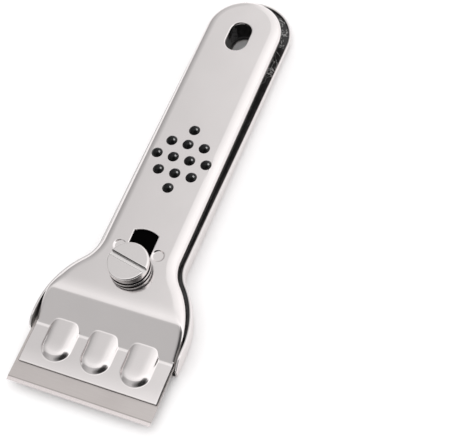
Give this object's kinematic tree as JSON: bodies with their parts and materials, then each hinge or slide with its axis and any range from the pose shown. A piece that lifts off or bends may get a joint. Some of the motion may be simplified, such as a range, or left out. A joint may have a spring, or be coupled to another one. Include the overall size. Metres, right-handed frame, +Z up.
{
  "type": "razor blade scraper",
  "caption": "Chromed hand scraper with a flared head that clamps a razor blade under a sliding cover, a slotted clamp screw, rubber grip domes and a hang hole.",
  "frame": {"origin": "middle of the bounding box, on the resting face", "axes": "+Z up with the scraper lying on its lower shell, +Y from the cutting edge to the rear end of the handle, +X across"},
  "size_m": [0.045, 0.143, 0.0138],
  "materials": {
    "chrome": "bright plated pressed steel",
    "screw_chrome": "bright plated turned steel",
    "blade_steel": "fine rolled",
    "inner_steel": "plain pressed steel",
    "black_plastic": "moulded gloss",
    "black_rubber": "smooth"
  },
  "bodies": {
    "base": {"lower_shell": "chrome", "blade_seat": "inner_steel", "blade_peg_1": "inner_steel", "blade_peg_2": "inner_steel", "blade_peg_3": "inner_steel", "seat_rivet_1": "inner_steel", "seat_rivet_2": "inner_steel", "blade": "blade_steel", "clamp_post": "inner_steel", "handle_core": "black_plastic"},
    "cover": {"upper_shell": "chrome", "grip_pad": "black_rubber"},
    "washers": {"flat_washer": "screw_chrome", "lock_washer": "screw_chrome"},
    "screw": {"clamp_screw": "screw_chrome"}
  },
  "joints": [
    {"name": "cover_slide", "type": "slide", "parent": "base", "child": "cover", "axis": [0, -1, 0], "range_m": [0, 0.009]},
    {"name": "washer_lift", "type": "slide", "parent": "base", "child": "washers", "axis": [0, 0, 1], "range_m": [0, 0.0016]},
    {"name": "screw_turn", "type": "hinge", "parent": "washers", "child": "screw", "pos_m": [0, -0.03256, 0.0093], "axis": [0, 0, 1], "range_deg": [0, 720]}
  ],
  "couplings": [
    {"joint": "screw_turn", "follows": "washer_lift", "rad_per_m": 7854}
  ]
}
